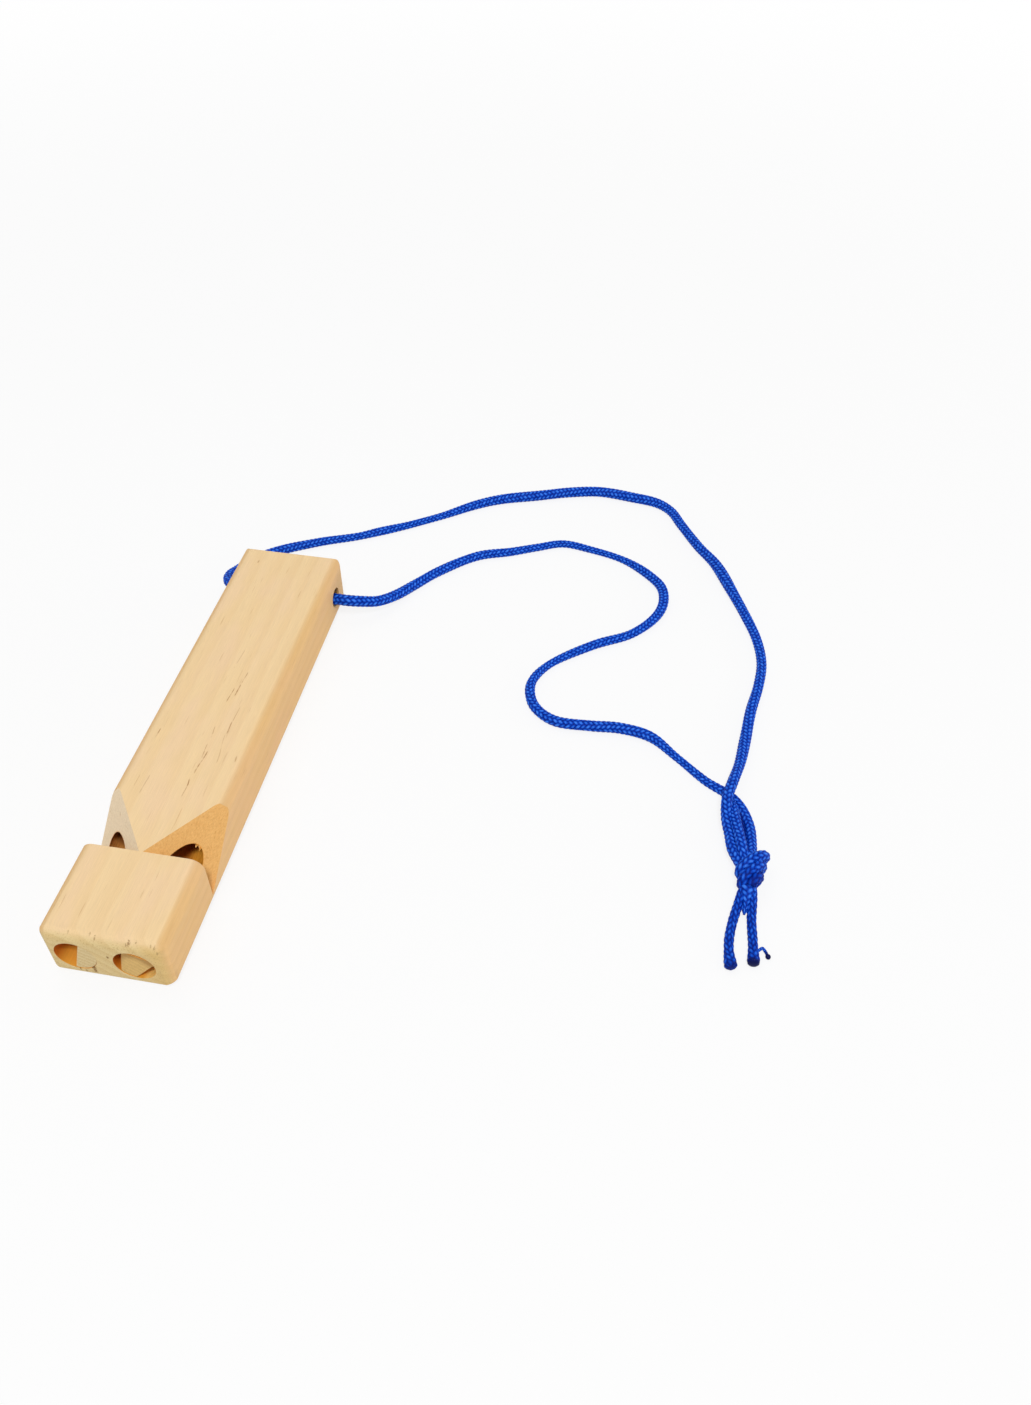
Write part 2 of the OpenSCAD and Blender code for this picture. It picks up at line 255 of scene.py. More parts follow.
# The block along the grain. The tints multiply the top's colour on the sides and round the long edges, as
# painted shade.
EARLY_WOOD, LATE_WOOD = linear(240, 209, 160), linear(230, 192, 137)
WOOD_BAND, WOOD_CLOUD = linear(229, 196, 147), linear(239, 205, 168)
SIDE_SHADE_TINT, EDGE_SHADE_TINT = (0.98, 0.85, 0.668, 1), (0.91, 0.91, 0.9, 1)
PORE, RESIN, DIRT = linear(192, 142, 82), linear(150, 92, 34), linear(128, 82, 18)
# The windows' ramps, smooth and rough: one wood, painted as lit on the left and as shaded on the right.
LIT_LEFT_RAMP = (linear(239, 217, 184), linear(227, 203, 168))
SHADED_RIGHT_RAMP = (linear(232, 181, 110), linear(218, 162, 90))
RAMP_TORN, RAMP_CORNER_SHADE = linear(196, 134, 62), linear(228, 150, 76)
# The block's ends.
MOUTH_GRAIN, CORD_GRAIN = linear(226, 201, 146), linear(230, 198, 146)
GRAIN_RING, GRAIN_RIGHT, GRAIN_GRIT = linear(206, 172, 112), linear(222, 182, 108), linear(186, 150, 88)
# The bores' walls, smooth and rough: the wood's orange, brightened in the right bore as painted light.
LEFT_BORE = (linear(248, 176, 92), linear(226, 146, 68))
RIGHT_BORE = (linear(250, 178, 62), linear(230, 148, 40))
# Painted shade on the inner sides, the roofs, deep in the left chamber and up in the windways; painted light
# low and right in the windways.
BORE_INNER_SHADE, BORE_ROOF_SHADE, BORE_DEEP_SHADE = linear(150, 74, 14), linear(176, 100, 24), linear(104, 32, 4)
WINDWAY_LOW_LIT, WINDWAY_HIGH_SHADE, WINDWAY_RIGHT_LIGHT = linear(236, 168, 58), linear(200, 104, 14), linear(254, 212, 122)
# The plugs: their ends with a painted shadow under the right one's rim, and their sides from smooth to rough.
LEFT_END, RIGHT_END = linear(222, 200, 150), linear(221, 183, 113)
PLUG_RING, PLUG_GRIT, PLUG_RIM_SHADOW = linear(190, 152, 90), linear(184, 148, 88), linear(160, 114, 54)
PLUG_SIDE = (linear(238, 176, 88), linear(210, 142, 60))


class Paint:
    """A procedural material. Most methods add one node and give its output."""

    def __init__(self, name):
        self.material = bpy.data.materials.new(name)
        self.material.use_nodes = True
        self.nodes = self.material.node_tree.nodes
        self.links = self.material.node_tree.links
        self.nodes.clear()
        self.shader = self.nodes.new("ShaderNodeBsdfPrincipled")
        out = self.nodes.new("ShaderNodeOutputMaterial")
        self.links.new(self.shader.outputs["BSDF"], out.inputs["Surface"])

    def put(self, socket, value):
        """Links a node's output to the socket, or sets a plain value on it."""
        if isinstance(value, bpy.types.NodeSocket):
            self.links.new(value, socket)
        else:
            socket.default_value = value

    def place(self):
        """Object coordinates in millimetres."""
        node = self.nodes.new("ShaderNodeTexCoord")
        return self.stretch(node.outputs["Object"], (1000, 1000, 1000))

    def stretch(self, vector, scale):
        node = self.nodes.new("ShaderNodeVectorMath")
        node.operation = "MULTIPLY"
        self.put(node.inputs[0], vector)
        node.inputs[1].default_value = scale
        return node.outputs["Vector"]

    def parts(self, vector):
        node = self.nodes.new("ShaderNodeSeparateXYZ")
        self.put(node.inputs[0], vector)
        return node.outputs[0], node.outputs[1], node.outputs[2]

    def normal(self):
        """The surface's direction, as its x, y and z."""
        return self.parts(self.nodes.new("ShaderNodeNewGeometry").outputs["Normal"])

    def attribute(self, name):
        node = self.nodes.new("ShaderNodeAttribute")
        node.attribute_name = name
        return node.outputs["Fac"]

    def math(self, operation, first, second=0.0, third=0.0):
        node = self.nodes.new("ShaderNodeMath")
        node.operation = operation
        for socket, value in zip(node.inputs, (first, second, third)):
            self.put(socket, value)
        return node.outputs[0]

    def times(self, *values):
        total = values[0]
        for value in values[1:]:
            total = self.math("MULTIPLY", total, value)
        return total

    def span(self, value, low, high, to_low=0.0, to_high=1.0):
        """value from low to high, as a smooth step from to_low to to_high."""
        node = self.nodes.new("ShaderNodeMapRange")
        node.interpolation_type = "SMOOTHSTEP"
        for socket, number in zip(node.inputs, (value, low, high, to_low, to_high)):
            self.put(socket, number)
        return node.outputs[0]

    def noise(self, vector, scale, detail=2.0, rough=0.5):
        """A noise with as many features per millimetre as scale says along each axis."""
        node = self.nodes.new("ShaderNodeTexNoise")
        self.put(node.inputs["Vector"], self.stretch(vector, scale))
        node.inputs["Scale"].default_value = 1.0
        node.inputs["Detail"].default_value = detail
        node.inputs["Roughness"].default_value = rough
        return node.outputs["Fac"]

    def away(self, vector, point):
        """Distance from a point."""
        node = self.nodes.new("ShaderNodeVectorMath")
        node.operation = "DISTANCE"
        self.put(node.inputs[0], vector)
        node.inputs[1].default_value = point
        return node.outputs["Value"]

    def most(self, values):
        """The largest of several values."""
        total = values[0]
        for value in values[1:]:
            total = self.math("MAXIMUM", total, value)
        return total

    def ramp(self, value, stops):
        """A colour from the stops, each a value and its colour."""
        node = self.nodes.new("ShaderNodeValToRGB")
        self.put(node.inputs[0], value)
        marks = node.color_ramp.elements
        while len(marks) < len(stops):
            marks.new(0.5)
        for mark, (at, colour) in zip(marks, stops):
            mark.position = at
            mark.color = colour
        return node.outputs["Color"]

    def mix(self, amount, first, second, blend="MIX"):
        node = self.nodes.new("ShaderNodeMix")
        node.data_type = "RGBA"
        node.blend_type = blend
        self.put(node.inputs[0], amount)
        self.put(node.inputs[6], first)
        self.put(node.inputs[7], second)
        return node.outputs[2]

    def grey(self, value):
        """A number as a grey colour, to multiply with."""
        node = self.nodes.new("ShaderNodeCombineColor")
        for socket in node.inputs[:3]:
            self.put(socket, value)
        return node.outputs[0]

    def bump(self, height, distance, strength):
        """Relief in the shader from a height, which is worth distance millimetres."""
        node = self.nodes.new("ShaderNodeBump")
        node.inputs["Strength"].default_value = strength
        node.inputs["Distance"].default_value = distance * MM
        self.put(node.inputs["Height"], height)
        self.put(self.shader.inputs["Normal"], node.outputs["Normal"])

    def set(self, **values):
        """Sets or links the shader's sockets, whose names have _ for a space here."""
        for name, value in values.items():
            self.put(self.shader.inputs[name.replace("_", " ")], value)


def smooth_line(points, step):
    """A smooth line through the points, as evenly spaced points."""
    points = np.array(points, float)
    gaps = np.maximum(np.linalg.norm(np.diff(points, axis=0), axis=1), 1e-6) ** 0.5
    at = np.concatenate(([0], np.cumsum(gaps)))
    slope = np.gradient(points, at, axis=0)
    fine = []
    for i, gap in enumerate(gaps):
        t = np.linspace(0, 1, CURVE_PARTS, endpoint=False)[:, None]
        fine.append(
            (2 * t**3 - 3 * t**2 + 1) * points[i] + (t**3 - 2 * t**2 + t) * gap * slope[i]
            + (3 * t**2 - 2 * t**3) * points[i + 1] + (t**3 - t**2) * gap * slope[i + 1]
        )
    fine = np.vstack(fine + [points[-1:]])
    run = np.concatenate(([0], np.cumsum(np.linalg.norm(np.diff(fine, axis=0), axis=1))))
    even = np.linspace(0, run[-1], max(4, round(run[-1] / step) + 1))
    return np.stack([np.interp(even, run, fine[:, k]) for k in range(3)], 1)


def line_length(line):
    """The length along the line's points."""
    return float(np.linalg.norm(np.diff(line, axis=0), axis=1).sum())


def carried_axes(line):
    """Two directions across the line at each point, carried along without twist."""
    along = np.gradient(line, axis=0)
    along /= np.linalg.norm(along, axis=1)[:, None]
    side = np.cross(along[0], (0, 0, 1))
    if np.linalg.norm(side) < 0.1:
        side = np.cross(along[0], (1, 0, 0))
    sides = []
    for direction in along:
        side = side - direction * side.dot(direction)
        side = side / np.linalg.norm(side)
        sides.append(side)
    sides = np.array(sides)
    return sides, np.cross(sides, along)


def weave(u, v):
    """How high a two-over-two weave stands u yarns round and v cells along, and each yarn's own shade."""
    first, second = u - v, u + v
    i, j = np.floor(first), np.floor(second)
    stage = (i + j) % 4
    over = stage < 2
    across = np.where(over, first - i, second - j) - 0.5
    along = np.where(over, stage + second - j, stage - 2 + first - i) / 2
    bulge = np.sqrt(np.clip(1 - (YARN_NARROW * across) ** 2, 0, 1))
    crown = bulge * (CROWN_LOW + (1 - CROWN_LOW) * np.sin(np.pi * np.clip(along, 0, 1)))
    # Any fixed numbers that give neighbouring yarns different shades.
    yarn = np.where(over, i * 1.7, j * 2.3 + 5)
    shade = 0.5 + 0.5 * np.sin(yarn * 12.9898 + np.where(over, 0, 1.3))
    return crown, shade


def braid(line, radius, relief=BRAID_RELIEF, cell=BRAID_CELL, yarns=BRAID_YARNS, turn=BRAID_TWIST, melt=None):
    """A closed braided tube: its points and faces.

    Each point also has how high its yarn stands, its yarn's own shade and how melted it is.
    """
    count = len(line)
    step = line_length(line) / (count - 1)
    radius = np.broadcast_to(np.asarray(radius, float), (count,))
    melt = np.zeros(count) if melt is None else np.asarray(melt, float)
    sides, ups = carried_axes(line)
    run = np.arange(count)[:, None] * step
    slot = np.arange(BRAID_ROUND)[None, :] / BRAID_ROUND
    crown, shade = weave(slot * yarns + np.zeros_like(run), run / cell + np.zeros_like(slot))
    crown = crown * (1 - melt[:, None])
    angle = 2 * np.pi * (slot + run / turn)
    reach = radius[:, None] - relief + relief * crown
    points = line[:, None, :] + reach[..., None] * (
        np.cos(angle)[..., None] * sides[:, None, :] + np.sin(angle)[..., None] * ups[:, None, :]
    )
    index = np.arange(count * BRAID_ROUND).reshape(count, BRAID_ROUND)
    after = np.roll(index, -1, axis=1)
    quads = np.stack([index[:-1], index[1:], after[1:], after[:-1]], -1).reshape(-1, 4)
    faces = quads.tolist() + [index[0].tolist(), index[-1][::-1].tolist()]
    melted = np.repeat(melt, BRAID_ROUND)
    return points.reshape(-1, 3), faces, crown.reshape(-1), shade.reshape(-1), melted


def piece(name, shapes, material, nodes):
    """One object from the shapes, which stands for the CAD nodes and rides on the root body."""
    points, faces, crown, shade, melt = [], [], [], [], []
    base = 0
    for shape in shapes:
        points.append(shape[0])
        faces.extend([[base + k for k in face] for face in shape[1]])
        crown.append(shape[2])
        shade.append(shape[3])
        melt.append(shape[4])
        base += len(shape[0])
    mesh = bpy.data.meshes.new(name)
    mesh.from_pydata((np.vstack(points) * MM).tolist(), [], faces)
    for label, values in (("crown", crown), ("shade", shade), ("melt", melt)):
        data = mesh.attributes.new(label, "FLOAT", "POINT")
        data.data.foreach_set("value", np.concatenate(values).astype(np.float32))
    mesh.shade_smooth()
    mesh.materials.append(material)
    thing = bpy.data.objects.new(name, mesh)
    bpy.context.scene.collection.objects.link(thing)
    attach(thing, "root")
    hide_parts(*nodes)
    return thing


def cord_paint():
    """Blue braided cord: painted highlights on the yarn crowns, painted shade in the grooves, a little shine,
    dark where melted.
    """
    paint = Paint("braided_cord")
    crown = paint.attribute("crown")
    shade = paint.attribute("shade")
    melt = paint.attribute("melt")
    at = paint.place()
    fuzz = paint.noise(at, (5, 5, 5), 3.0, 0.6)
    # The yarn's height picks its colour: painted shade in the grooves, painted highlights on the crowns.
    lit = paint.math("ADD", crown, paint.times(paint.math("SUBTRACT", fuzz, 0.5), 0.3))
    lit = paint.math("ADD", lit, paint.times(paint.math("SUBTRACT", shade, 0.5), 0.16))
    colour = paint.mix(melt, paint.ramp(lit, CORD_SHADE_TO_HIGHLIGHT), CORD_MELTED)
    paint.set(
        Base_Color=colour,
        Roughness=paint.span(melt, 0, 1, 0.5, 0.28),
        Specular_IOR_Level=0.07,
    )
    paint.bump(paint.noise(at, (9, 9, 9), 2.0, 0.6), 0.04, 0.5)
    return paint.material


def cord_ends(count, step, radius, end_radius, flare):
    """Radii of a tail that flares over its last stretch and rounds off at the cut, with how melted it is."""
    left = (count - 1 - np.arange(count)) * step
    grow = np.clip(1 - left / flare, 0, 1)
    radii = radius + (end_radius - radius) * grow**2 * (3 - 2 * grow)
    tip = np.clip(1 - left / TIP_ROUND, 0, 1)
    return radii * (1 - TIP_NARROW * tip**3), np.clip(1 - left / MELT_RUN, 0, 1)


def strand_widths(widths, run):
    """Widths along a strand, eased from one named width to the next."""
    at, wide = np.array(widths, float).T
    k = np.clip(np.searchsorted(at, run, side="right") - 1, 0, len(at) - 2)
    share = np.clip((run - at[k]) / (at[k + 1] - at[k]), 0, 1)
    return wide[k] + (wide[k + 1] - wide[k]) * share * share * (3 - 2 * share)


def build_cords(material):
    """The two strands, their knot, the two tails and the stray thread."""
    strands = {}
    for name, route, widths, nodes in (
        ("right_strand", RIGHT_ROUTE, RIGHT_WIDTHS, ("cord_right_strand", "cord_in_hole")),
        ("left_strand", LEFT_ROUTE, LEFT_WIDTHS, ("cord_left_strand",)),
    ):
        line = smooth_line(route, BRAID_STEP)
        width = strand_widths(widths, np.arange(len(line)) * BRAID_STEP)
        line[:, 2] += (width - CORD_D) / 2
        strands[name] = (piece(name, [braid(line, width / 2)], material, nodes), line)

    left_tail, right_tail = (
        build_tail(name, route, material, node, burnt)
        for name, route, node, burnt in (
            ("left_tail", LEFT_TAIL, "cord_left_tail", 0.25),
            ("right_tail", RIGHT_TAIL, "cord_right_tail", 1.0),
        )
    )
    thread = build_thread(material)
    knot = build_knot(material)
    for name, sign, extras in (
        ("right_strand", 1, [right_tail, thread]), ("left_strand", -1, [knot, left_tail]),
    ):
        thing, line = strands[name]


def dulled(shape, amount):
    """A braid whose yarns' painted crown highlights are as much weaker along it as amount says, so it shows
    darker.
    """
    points, faces, crown, shade, melt = shape
    along = np.broadcast_to(amount, (len(points) // BRAID_ROUND,))
    return points, faces, crown * np.repeat(along, BRAID_ROUND), shade, melt


def build_tail(name, route, material, node, burnt):
    """One cut end of the cord below the knot, flared and melted at its tip."""
    line = smooth_line(route, FINE_STEP)
    step = line_length(line) / (len(line) - 1)
    radii, melt = cord_ends(len(line), step, TAIL_SLIM * TAIL_D / 2, TAIL_END_D / 2, TAIL_FLARE)
    shape = dulled(braid(line, radii, cell=TAIL_CELL, turn=TAIL_TWIST, melt=melt * burnt), TAIL_DULL)
    return piece(name, [shape], material, (node,))


def build_thread(material):
    """One yarn that has come loose, with a melted bead at its end."""
    line = smooth_line(THREAD, THREAD_STEP)
    left = (len(line) - 1 - np.arange(len(line))) * THREAD_STEP
    bead = np.sqrt(np.clip(1 - ((left - BEAD_R) / BEAD_R) ** 2, 0, 1))
    thinned = THREAD_R - THREAD_THIN * np.clip(1 - left / THREAD_THIN_RUN, 0, 1)
    shape = braid(
        line, np.maximum(thinned, BEAD_R * bead), relief=THREAD_RELIEF, cell=THREAD_CELL,
        yarns=THREAD_YARNS, turn=THREAD_TWIST, melt=np.clip(THREAD_MELT - left / THREAD_MELT_RUN, 0, 1),
    )
    return piece("stray_thread", [shape], material, ("cord_stray_thread",))


def build_knot(material):
    """Two slanted turns that tuck in, a core that ends between the tails, and two strands above it."""
    turns = np.linspace(-KNOT_LEAD, KNOT_TURNS + KNOT_TRAIL, KNOT_POINTS)
    angle = turns * 2 * np.pi
    to_end = np.minimum(turns + KNOT_LEAD, KNOT_TURNS + KNOT_TRAIL - turns)
    tucked = np.clip(to_end / KNOT_LEAD, 0, 1)
    reach = KNOT_TUCK + (1 - KNOT_TUCK) * np.sin(tucked * np.pi / 2)
    taper = 1 + KNOT_TAPER / 2 - KNOT_TAPER * turns / KNOT_TURNS
    cx, cy, cz = KNOT_AT
    wrap = np.stack([
        cx + KNOT_RX * reach * taper * np.cos(angle),
        cy + KNOT_PITCH * (KNOT_TURNS / 2 - turns) + KNOT_SHEAR * reach * np.cos(angle),
        cz + KNOT_RZ * reach * np.sin(angle),
    ], 1)
    turn_line = smooth_line(wrap, FINE_STEP)
    late = np.clip(np.linspace(-KNOT_LATE, KNOT_LATE, len(turn_line)), 0, 1)
    # The knot's last turn and the strand under it are darkened as painted shade.
    shapes = [
        dulled(braid(turn_line, KNOT_STRAND_R), 1 - (1 - TURN_PAINTED_SHADE) * late),
        dulled(braid(smooth_line(UNDER, FINE_STEP), UNDER_R), UNDER_PAINTED_SHADE),
    ]
    for route, radii in ((KNOT_CORE, KNOT_CORE_R), (TURN, TURN_R)):
        line = smooth_line(route, FINE_STEP)
        share = np.linspace(0, 1, len(line))
        shapes.append(braid(line, np.interp(share, np.linspace(0, 1, len(radii)), radii)))
    return piece("knot", shapes, material, ("cord_knot",))


def spike(root, tip, half):
    """One torn fibre: a bent four-sided sliver that narrows to a point."""
    root, tip = Vector(root), Vector(tip)
    along = (tip - root).normalized()
    side = along.cross(Vector((0, 0, 1))).normalized()
    over = side.cross(along)
    points = []
    for share, wide in SPIKE_WIDTHS:
        middle = root.lerp(tip, share) - over * (half * SPIKE_DROOP * share * share)
        for across, up in SPIKE_CORNERS:
            points.append(middle + side * (half * wide * across) + over * (half * wide * up))
    faces = [(0, 1, 2, 3), (15, 14, 13, 12)]
    for ring in range(3):
        for k in range(4):
            a, b = ring * 4 + k, ring * 4 + (k + 1) % 4
            faces.append((a + 4, b + 4, b, a))
    return points, faces


def build_splinters(material):
    """Fibres torn at the lip of the right window, along the grain."""
    points, faces = [], []
    for root, tip, half in SPLINTERS:
        more, sides = spike(root, tip, half)
        faces.extend([[len(points) + k for k in face] for face in sides])
        points.extend(more)
    mesh = bpy.data.meshes.new("window_splinters")
    mesh.from_pydata([p * MM for p in points], [], faces)
    mesh.materials.append(material)
    thing = bpy.data.objects.new("window_splinters", mesh)
    bpy.context.scene.collection.objects.link(thing)
    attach(thing, "root")


def streaks(paint, x, y, z, broken):
    """Dark resin lines along the grain of the top face, broken up by a noise."""
    masks = []
    for x0, y0, x1, y1, half, dark in RESIN_LINES:
        (low, low_x), (high, high_x) = sorted(((y0, x0), (y1, x1)))
        middle = paint.math("MULTIPLY_ADD", paint.span(y, low, high), high_x - low_x, low_x)
        aside = paint.math("ABSOLUTE", paint.math("SUBTRACT", x, middle))
        masks.append(paint.times(
            paint.span(aside, half * LINE_CORE, half, dark, 0),
            paint.span(y, low - LINE_FADE, low + LINE_FADE),
            paint.span(y, high - LINE_FADE, high + LINE_FADE, 1, 0),
        ))
    on_top = paint.span(z, TOP_Z - 0.6, TOP_Z - 0.2)
    return paint.times(paint.most(masks), paint.span(broken, 0.3, 0.55), on_top)


def specks(paint, at, rough):
    """Torn pores and dirt at the mouth end."""
    pressed = paint.stretch(at, (SPECK_SLIM, 1, 1))
    masks = []
    for (x, y, z), reach, dark in MOUTH_SPECKS:
        off = paint.away(pressed, (x * SPECK_SLIM, y, z))
        off = paint.math("ADD", off, paint.times(paint.math("SUBTRACT", rough, 0.5), reach * SPECK_RAGGED))
        masks.append(paint.span(off, reach * SPECK_CORE, reach * SPECK_RIM, dark, 0))
    return paint.most(masks)


def growth_rings(paint, at, x, z, width):
    """0 in the pale wood of each year, up to 1 in its darker late wood."""
    sway = paint.noise(at, (0.06, 0.012, 0.06), 2.0)
    across = paint.math("ADD", x, HEART[0])
    over = paint.math("ADD", z, HEART[1])
    far = paint.math("SQRT", paint.math("ADD", paint.times(across, across), paint.times(over, over)))
    year = paint.math("FRACT", paint.math("ADD", paint.times(far, 1 / width), paint.times(sway, RING_SWAY)))
    return paint.times(paint.span(year, 0.15, 0.86), paint.span(year, 0.9, 1.0, 1, 0))


def from_bore(paint, x, z):
    """How far across and up from the nearer bore's axis a point lies, and its distance from that axis."""
    off_x = paint.math("SUBTRACT", paint.math("ABSOLUTE", x), BORE_X)
    off_z = paint.math("SUBTRACT", z, BORE_Z)
    far = paint.math("SQRT", paint.math("ADD", paint.times(off_x, off_x), paint.times(off_z, off_z)))
    return off_x, off_z, far


def sanded_faces(paint, at, rings, nx):
    """The outside along the grain: pale on top, with painted shade that makes the sides warmer and darker and
    the long edges a little darker.
    """
    wide = paint.noise(at, (0.5, 0.03, 0.5), 2.0)
    cloud = paint.noise(at, (0.14, 0.05, 0.14), 3.0)
    colour = paint.mix(paint.times(rings, 0.27), EARLY_WOOD, LATE_WOOD)
    colour = paint.mix(paint.span(wide, 0.35, 0.7, 0, 0.24), colour, WOOD_BAND)
    colour = paint.mix(paint.span(cloud, 0.4, 0.72, 0, 0.5), colour, WOOD_CLOUD)
    # Painted shade: the sides and the rounded long edges are darkened by tints.
    lean = paint.math("ABSOLUTE", nx)
    side = paint.span(lean, 0.15, 0.75)
    colour = paint.mix(side, colour, paint.mix(1.0, colour, SIDE_SHADE_TINT, "MULTIPLY"))
    bend = paint.times(paint.span(lean, 0.2, 0.5), paint.span(lean, 0.75, 0.98, 1, 0))
    return paint.mix(bend, colour, paint.mix(1.0, colour, EDGE_SHADE_TINT, "MULTIPLY"))


def window_ramps(paint, at, x, z, sawn):
    """The sawn ramps in painted light and shade: the left one pale as lit, the right one warm, torn and
    shaded, redder with painted shade and bounce light at its low tip.
    """
    rough = paint.span(sawn, 0.3, 0.7)
    # The two ramps are one wood: the left painted as lit, the right as shaded.
    left = paint.mix(rough, *LIT_LEFT_RAMP)
    right = paint.mix(rough, *SHADED_RIGHT_RAMP)
    torn = paint.span(paint.noise(at, (3.0, 0.9, 0.9), 2.0, 0.6), 0.6, 0.7)
    right = paint.mix(paint.times(torn, 0.45), right, RAMP_TORN)
    # Painted shade and bounce light, redder toward the low tip by the wall.
    right = paint.mix(paint.span(z, 3, 6.5, 0.5, 0), right, RAMP_CORNER_SHADE)
    return paint.mix(paint.span(x, -0.6, 0.6), left, right)


def end_grain(paint, x, y, rings, grit):
    """The ends across the grain, with pits, a little warmer at the cord end and toward the right."""
    grain = paint.mix(paint.span(y, -1, 1), MOUTH_GRAIN, CORD_GRAIN)
    grain = paint.mix(paint.times(rings, 0.35), grain, GRAIN_RING)
    grain = paint.mix(paint.span(x, 5, 12, 0, 0.55), grain, GRAIN_RIGHT)
    return paint.mix(paint.span(grit, 0.52, 0.68, 0, 0.5), grain, GRAIN_GRIT)


def bore_walls(paint, x, y, off_x, off_z, sawn):
    """The drilled walls, with painted shade: brown on the inner side and the roof, and dark behind the left
    window.

    The windways, in front of the windows, get painted shade upward and painted light low down and at the
    right.
    """
    rough = paint.span(sawn, 0.3, 0.7)
    left = paint.mix(rough, *LEFT_BORE)
    right = paint.mix(rough, *RIGHT_BORE)
    wall = paint.mix(paint.span(x, -1, 1), left, right)
    # Painted shade on the inner side and the roof.
    wall = paint.mix(paint.span(off_x, -1.8, 0.2, 0.85, 0), wall, BORE_INNER_SHADE)
    wall = paint.mix(paint.span(off_z, 1.5, 4.0, 0, 0.6), wall, BORE_ROOF_SHADE)
    windway = paint.span(y, WALL_Y - 2.5, WALL_Y - 0.5, 1, 0)
    # In the windways: painted light low down and at the right, painted shade upward.
    windway_light_and_shade = paint.mix(paint.span(off_z, -3.6, -0.5), WINDWAY_LOW_LIT, WINDWAY_HIGH_SHADE)
    windway_light_and_shade = paint.mix(paint.span(x, 6.5, 8.0), windway_light_and_shade, WINDWAY_RIGHT_LIGHT)
    wall = paint.mix(paint.times(windway, 0.92), wall, windway_light_and_shade)
    # Painted shade deep in the left chamber, behind its window.
    deep = paint.times(paint.span(y, *LEFT_CHAMBER_SHADE, 0, 0.7), paint.span(x, -1, 1, 1, 0))
    return paint.mix(deep, wall, BORE_DEEP_SHADE)


def pine_paint():
    """Sanded pine: rings and fibres along the block, resin lines, sawn ramps, end grain and brown bores, with
    painted light and shade on the sides, the ramps and in the bores.
    """
    paint = Paint("sanded_pine")
    at = paint.place()
    x, y, z = paint.parts(at)
    nx, ny, _ = paint.normal()
    ends = paint.math("ABSOLUTE", ny)
    off_x, off_z, far = from_bore(paint, x, z)
    rings = growth_rings(paint, at, x, z, BLOCK_RINGS)
    fibre = paint.noise(at, (5.0, 0.2, 5.0), 4.0, 0.65)
    sawn = paint.noise(at, (4.5, 0.4, 4.5), 3.0, 0.6)
    grit = paint.noise(at, (3.0, 3.0, 3.0), 3.0, 0.6)
    ramp = paint.times(paint.span(ny, -0.3, -0.2, 1, 0), paint.span(y, WALL_Y - 0.4, WALL_Y - 0.1))
    end = paint.times(paint.span(ends, 0.45, 0.95), paint.math("SUBTRACT", 1.0, ramp))
    bored = paint.times(paint.span(far, BORE_R + 0.02, BORE_R + 0.14, 1, 0), paint.span(ends, 0.3, 0.6, 1, 0))
    pores = paint.times(
        paint.span(paint.noise(at, (2.6, 0.12, 2.6), 1.0), 0.7, 0.78), paint.math("SUBTRACT", 1.0, end)
    )
    lines = streaks(paint, x, y, z, paint.noise(at, (1.0, 0.5, 1.0), 2.0))
    dirt = specks(paint, at, grit)

    colour = sanded_faces(paint, at, rings, nx)
    colour = paint.mix(ramp, colour, window_ramps(paint, at, x, z, sawn))
    colour = paint.mix(end, colour, end_grain(paint, x, y, rings, grit))
    colour = paint.mix(bored, colour, bore_walls(paint, x, y, off_x, off_z, sawn))
    colour = paint.mix(1.0, colour, paint.grey(paint.span(fibre, 0.25, 0.75, 0.945, 1.04)), "MULTIPLY")
    colour = paint.mix(paint.times(pores, 0.34), colour, PORE)
    colour = paint.mix(lines, colour, RESIN)
    colour = paint.mix(paint.times(dirt, 0.9), colour, DIRT)

    height = paint.math("SUBTRACT", paint.times(fibre, 0.6), paint.times(pores, 0.7))
    height = paint.math("SUBTRACT", height, paint.times(lines, 0.3))
    height = paint.math("SUBTRACT", height, paint.times(dirt, 0.6))
    height = paint.math("ADD", height, paint.times(grit, end, 0.9))
    height = paint.math("ADD", height, paint.times(sawn, ramp, 0.3))
    paint.bump(height, 0.12, 0.55)
    paint.set(
        Base_Color=colour,
        Roughness=paint.math("ADD", paint.times(fibre, 0.16), paint.span(end, 0, 1, 0.5, 0.66)),
        Specular_IOR_Level=0.3,
    )
    return paint.material


